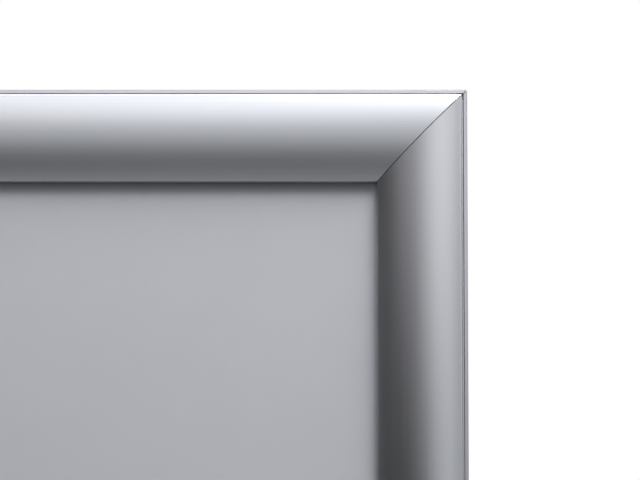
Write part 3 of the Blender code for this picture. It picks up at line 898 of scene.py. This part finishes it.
def add_stay_bolt(side, leaf, inward, body):
    """The link's pivot through the leg, with a spacer where the link is the inner one."""
    face, layer = LEG_SIZE / 2, STAY_LAYERS[leaf]
    head = face + layer + STAY_THICKNESS + 0.3 * MM
    profile = [(0, head + BOLT_HEAD)]
    for i in range(1, 9):
        a = math.radians(90 - 9 * i)
        height = head + 0.4 * MM + (BOLT_HEAD - 0.4 * MM) * math.sin(a)
        profile.append((BOLT_HEAD_RADIUS * math.cos(a), height))
    profile += [(BOLT_HEAD_RADIUS, head + 0.4 * MM), (BOLT_HEAD_RADIUS, head), (BOLT_RADIUS, head)]
    if layer > STAY_THICKNESS:
        for radius, at in ((BOLT_RADIUS, layer), (BOLT_HEAD_RADIUS, layer)):
            profile.append((radius, face + at - 0.3 * MM))
        profile += [(BOLT_HEAD_RADIUS, face + 0.3 * MM), (BOLT_RADIUS, face + 0.3 * MM)]
    end = -face - 0.05 * MM
    profile += [(BOLT_RADIUS, end), (BOLT_HEAD_RADIUS, end), (BOLT_HEAD_RADIUS, end - 0.4 * MM)]
    profile += [(0.6 * BOLT_HEAD_RADIUS, end - RIVET_HEAD), (0, end - RIVET_HEAD)]
    place = LEAF[leaf] @ facing((-inward * LEG_OUT, -STAY_DOWN, LEG_MIDDLE), (inward, 0, 0))
    add(
        f"{side}_stay_{leaf}_pivot_bolt", turned_mesh(profile), place, body,
        MATERIALS["plated_steel"], [f"{side}_stay_{leaf}_bolt"],
    )  # fmt: skip


# Light, floor and camera


def towards(azimuth, elevation):
    """A direction: azimuth 0 is -Y, where the camera stands, and 90 is +X."""
    a, e = math.radians(azimuth), math.radians(elevation)
    return (math.sin(a) * math.cos(e), -math.cos(a) * math.cos(e), math.sin(e))


def light_the_world():
    """White behind the object, and for everything else a dark room with soft patches of light."""
    world = bpy.data.worlds.new("studio")
    bpy.context.scene.world = world
    world.use_nodes = True
    tree = world.node_tree
    tree.nodes.clear()

    def node(kind, inputs, **settings):
        made = tree.nodes.new("ShaderNode" + kind)
        for key, value in settings.items():
            setattr(made, key, value)
        for key, value in inputs.items():
            if isinstance(value, bpy.types.NodeSocket):
                tree.links.new(value, made.inputs[key])
            else:
                made.inputs[key].default_value = value
        return made

    direction = node("TexCoord", {}).outputs["Generated"]
    light = 0.0
    for azimuth, elevation, core, edge, strength in SKY:
        inputs = {0: direction, 1: towards(azimuth, elevation)}
        cosine = node("VectorMath", inputs, operation="DOT_PRODUCT").outputs["Value"]
        inputs = {
            "Value": cosine,
            "From Min": math.cos(math.radians(edge)),
            "From Max": math.cos(math.radians(core)),
            "To Max": strength,
        }
        patch = node("MapRange", inputs, interpolation_type="SMOOTHSTEP").outputs["Result"]
        light = node("Math", {0: light, 1: patch}, operation="ADD").outputs[0]
    around = node("Background", {"Color": SKY_TINT, "Strength": light})
    behind = node("Background", {"Color": (1, 1, 1, 1)})
    seen = node("LightPath", {}).outputs["Is Camera Ray"]
    mix = node("MixShader", {0: seen, 1: around.outputs[0], 2: behind.outputs[0]})
    node("OutputWorld", {"Surface": mix.outputs[0]})


def add_softbox(name, location, target, size, power):
    data = bpy.data.lights.new(name, "AREA")
    data.shape = "RECTANGLE"
    data.size, data.size_y = size
    data.energy = power
    data.color = LAMP_TINT
    lamp = bpy.data.objects.new(name, data)
    bpy.context.scene.collection.objects.link(lamp)
    lamp.location = location
    lamp.rotation_euler = (Vector(target) - Vector(location)).to_track_quat("-Z", "Y").to_euler()
    lamp.visible_camera = False
    return lamp


def add_floor():
    """A plain pale floor that fades out into the white round it."""
    bm = bmesh.new()
    bmesh.ops.create_circle(bm, cap_ends=True, segments=96, radius=FLOOR_RADIUS)
    floor = bpy.data.objects.new("floor", finished(bm))
    bpy.context.scene.collection.objects.link(floor)
    n = Nodes("pale_floor")
    n.set(Base_Color=grey(0.82), Roughness=0.8)
    place = n.add("TexCoord").outputs["Object"]
    distance = n.add("VectorMath", {0: place}, operation="LENGTH").outputs["Value"]
    clear = n.add("BsdfTransparent")
    mix = n.add("MixShader", {"Fac": n.span(distance, 0, 1, FLOOR_FADE)})
    n.tree.links.new(n.shader.outputs[0], mix.inputs[1])
    n.tree.links.new(clear.outputs[0], mix.inputs[2])
    n.tree.links.new(mix.outputs[0], n.tree.nodes["Material Output"].inputs["Surface"])
    floor.data.materials.append(n.material)
    floor.visible_glossy = False
    floor.visible_diffuse = False


def add_camera():
    """Square on to the top right corner of the front leaf, and level with it."""
    edge = LEAF["front"] @ Vector((FRAME_WIDTH / 2, 0, FRAME_BACK + PIVOT[1]))
    target = edge - Vector((VIEW_LEFT_OF_EDGE, 0, VIEW_BELOW_EDGE))
    away = Vector((0, -1, 0))
    data = bpy.data.cameras.new("camera")
    data.sensor_width = 36
    data.lens = data.sensor_width * VIEW_DISTANCE / VIEW_WIDTH
    camera = bpy.data.objects.new("camera", data)
    bpy.context.scene.collection.objects.link(camera)
    camera.location = target + VIEW_DISTANCE * away
    camera.rotation_euler = (-away).to_track_quat("-Z", "Y").to_euler()
    bpy.context.scene.camera = camera


def light_the_board():
    for name, place, target, size, power in SOFTBOXES:
        lift = Vector((0, 0, FOLD.z))
        add_softbox(name, Vector(place) + lift, Vector(target) + lift, size, power)


paint_cad_nodes()
for each_leaf in LEAVES:
    add_snap_frame(each_leaf)
    add_bracket_screws(each_leaf)
    for each_side in SIDES:
        add_springs(each_leaf, each_side)
    for each_side, each_way in (("left", -1), ("right", 1)):
        add_leg(each_leaf, each_side, each_way * LEG_OUT)
        add_foot(each_leaf, each_side, each_way * LEG_OUT)
    add_crossbar(each_leaf)
for each_side, each_way in (("left", -1), ("right", 1)):
    add_fold_hinge(each_side, each_way)
    add_stay(each_side, each_way)
light_the_world()
light_the_board()
add_floor()
add_camera()
bpy.context.scene.view_settings.view_transform = "Standard"
